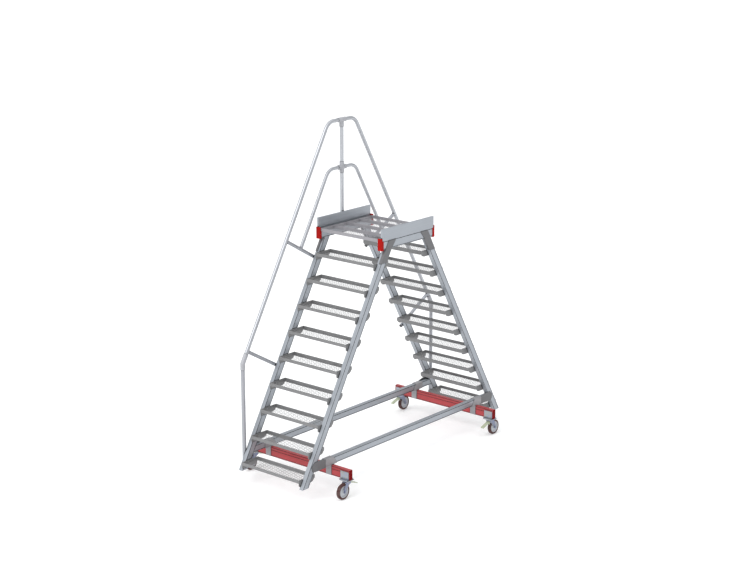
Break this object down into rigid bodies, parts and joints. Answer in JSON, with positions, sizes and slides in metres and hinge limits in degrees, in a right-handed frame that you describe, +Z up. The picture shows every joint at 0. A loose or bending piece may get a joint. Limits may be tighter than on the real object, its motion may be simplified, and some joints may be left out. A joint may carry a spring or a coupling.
{
  "type": "rolling warehouse ladder",
  "caption": "Double-sided rolling warehouse ladder: two leaning flights of mesh treads, a platform with toe boards, a handrail on one side and braked swivel castors.",
  "frame": {"origin": "on the floor, under the middle of the platform and of the traverses", "axes": "+Z up, +Y to the handrail side, X along the ladder from one flight to the other"},
  "size_m": [3.1802, 1.352, 3.469],
  "materials": {
    "aluminium": "mill-finish extrusion",
    "tread_metal": "dull grey aluminium",
    "red_coating": "satin red coating",
    "red_plastic": "moulded red",
    "dark_red_plastic": "moulded dark red",
    "zinc_plate": "bright zinc plate",
    "bolt_steel": "zinc-plated steel",
    "black_plastic": "moulded black",
    "pedal_plastic": "moulded pale green",
    "hub_plastic": "moulded off-white",
    "tyre": "red-brown rubber"
  },
  "bodies": {
    "frame": {"base_rails": "aluminium", "beam_end_caps": "red_plastic", "bolts": "bolt_steel", "castor_brackets": "zinc_plate", "deck_panels": "tread_metal", "end_plugs": "black_plastic", "gusset_plates": "tread_metal", "handrail_braces": "aluminium", "handrail_connectors": "aluminium", "handrail_left": "aluminium", "handrail_post": "aluminium", "handrail_right": "aluminium", "knee_rails": "aluminium", "lower_tubes": "aluminium", "platform_beams": "aluminium", "rail_saddles": "zinc_plate", "stile_left_far": "aluminium", "stile_left_near": "aluminium", "stile_right_far": "aluminium", "stile_right_near": "aluminium", "swivel_plates": "zinc_plate", "toe_boards": "aluminium", "traverse_end_caps": "dark_red_plastic", "traverse_left": "red_coating", "traverse_right": "red_coating", "tread_left_1": "tread_metal", "tread_left_2": "tread_metal", "tread_left_3": "tread_metal", "tread_left_4": "tread_metal", "tread_left_5": "tread_metal", "tread_left_6": "tread_metal", "tread_left_7": "tread_metal", "tread_left_8": "tread_metal", "tread_left_9": "tread_metal", "tread_right_1": "tread_metal", "tread_right_2": "tread_metal", "tread_right_3": "tread_metal", "tread_right_4": "tread_metal", "tread_right_5": "tread_metal", "tread_right_6": "tread_metal", "tread_right_7": "tread_metal", "tread_right_8": "tread_metal", "tread_right_9": "tread_metal"},
    "castor_left_near": {"fork_left_near": "zinc_plate"},
    "wheel_left_near": {"hub_left_near": "hub_plastic", "tyre_left_near": "tyre"},
    "brake_left_near": {"pedal_left_near": "pedal_plastic"},
    "castor_left_far": {"fork_left_far": "zinc_plate"},
    "wheel_left_far": {"hub_left_far": "hub_plastic", "tyre_left_far": "tyre"},
    "brake_left_far": {"pedal_left_far": "pedal_plastic"},
    "castor_right_near": {"fork_right_near": "zinc_plate"},
    "wheel_right_near": {"hub_right_near": "hub_plastic", "tyre_right_near": "tyre"},
    "brake_right_near": {"pedal_right_near": "pedal_plastic"},
    "castor_right_far": {"fork_right_far": "zinc_plate"},
    "wheel_right_far": {"hub_right_far": "hub_plastic", "tyre_right_far": "tyre"},
    "brake_right_far": {"pedal_right_far": "pedal_plastic"}
  },
  "joints": [
    {"name": "swivel_left_near", "type": "hinge", "parent": "frame", "child": "castor_left_near", "pos_m": [-1.165, -0.621, 0.17], "axis": [0, 0, 1], "continuous": true},
    {"name": "roll_left_near", "type": "hinge", "parent": "castor_left_near", "child": "wheel_left_near", "pos_m": [-1.224, -0.621, 0.08], "axis": [0, 1, 0], "continuous": true},
    {"name": "brake_left_near", "type": "hinge", "parent": "castor_left_near", "child": "brake_left_near", "pos_m": [-1.145, -0.621, 0.156], "axis": [0, 1, 0], "range_deg": [0, 8]},
    {"name": "swivel_left_far", "type": "hinge", "parent": "frame", "child": "castor_left_far", "pos_m": [-1.165, 0.621, 0.17], "axis": [0, 0, 1], "continuous": true},
    {"name": "roll_left_far", "type": "hinge", "parent": "castor_left_far", "child": "wheel_left_far", "pos_m": [-1.224, 0.621, 0.08], "axis": [0, 1, 0], "continuous": true},
    {"name": "brake_left_far", "type": "hinge", "parent": "castor_left_far", "child": "brake_left_far", "pos_m": [-1.145, 0.621, 0.156], "axis": [0, 1, 0], "range_deg": [0, 8]},
    {"name": "swivel_right_near", "type": "hinge", "parent": "frame", "child": "castor_right_near", "pos_m": [1.165, -0.621, 0.17], "axis": [0, 0, 1], "continuous": true},
    {"name": "roll_right_near", "type": "hinge", "parent": "castor_right_near", "child": "wheel_right_near", "pos_m": [1.224, -0.621, 0.08], "axis": [0, 1, 0], "continuous": true},
    {"name": "brake_right_near", "type": "hinge", "parent": "castor_right_near", "child": "brake_right_near", "pos_m": [1.145, -0.621, 0.156], "axis": [0, -1, 0], "range_deg": [0, 8]},
    {"name": "swivel_right_far", "type": "hinge", "parent": "frame", "child": "castor_right_far", "pos_m": [1.165, 0.621, 0.17], "axis": [0, 0, 1], "continuous": true},
    {"name": "roll_right_far", "type": "hinge", "parent": "castor_right_far", "child": "wheel_right_far", "pos_m": [1.224, 0.621, 0.08], "axis": [0, 1, 0], "continuous": true},
    {"name": "brake_right_far", "type": "hinge", "parent": "castor_right_far", "child": "brake_right_far", "pos_m": [1.145, 0.621, 0.156], "axis": [0, -1, 0], "range_deg": [0, 8]}
  ]
}
